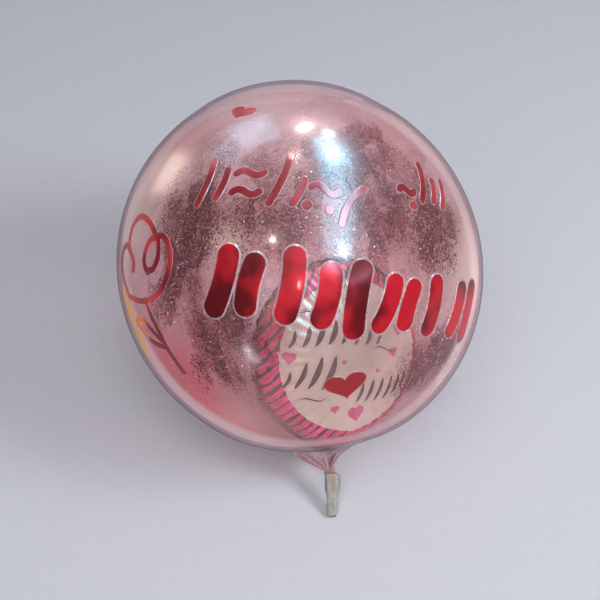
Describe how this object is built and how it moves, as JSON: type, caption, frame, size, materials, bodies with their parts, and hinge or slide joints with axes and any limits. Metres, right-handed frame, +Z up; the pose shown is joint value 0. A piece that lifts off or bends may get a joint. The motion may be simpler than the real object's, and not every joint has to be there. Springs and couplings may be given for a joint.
{
  "type": "clear bubble balloon",
  "caption": "Clear glitter-dusted bubble balloon with a taped tail and red metallic stickers, lying on a small flat spot and on the tip of its tail.",
  "frame": {"origin": "on the floor, under the middle of the whole balloon", "axes": "+Z up, -Y towards the side that carries the stickers and the tail, +X to the right of somebody who faces that side"},
  "size_m": [0.4768, 0.4859, 0.479],
  "materials": {
    "clear_film": "clear stretched film, glossy, dusted inside with fine mauve glitter",
    "clear_tape": "several turns of clear tape, greenish grey, softly glossy",
    "red_vinyl": "metallic red foil vinyl, glossy, with soft creases",
    "dark_red_vinyl": "deep red vinyl, satin metallic",
    "printed_foil": "printed foil of the small balloon sealed inside, satin metallic, crinkled along its seam"
  },
  "bodies": {
    "root": {"bar_1": "red_vinyl", "bar_10": "red_vinyl", "bar_2": "red_vinyl", "bar_3": "red_vinyl", "bar_4": "red_vinyl", "bar_5": "red_vinyl", "bar_6": "red_vinyl", "bar_7": "red_vinyl", "bar_8": "red_vinyl", "bar_9": "red_vinyl", "bubble": "clear_film", "flower": "dark_red_vinyl", "heart_front": "dark_red_vinyl", "heart_top": "dark_red_vinyl", "neck_tape": "clear_tape", "script_dot_1": "red_vinyl", "script_dot_2": "red_vinyl", "script_dot_3": "red_vinyl", "script_slash_1": "red_vinyl", "script_slash_2": "red_vinyl", "script_slash_3": "red_vinyl", "script_slash_4": "red_vinyl", "script_slash_5": "red_vinyl", "script_slash_6": "red_vinyl", "script_slash_7": "red_vinyl", "script_slash_8": "red_vinyl", "script_wave_1": "red_vinyl", "script_wave_2": "red_vinyl", "script_wave_3": "red_vinyl", "script_wave_4": "red_vinyl"}
  },
  "joints": []
}
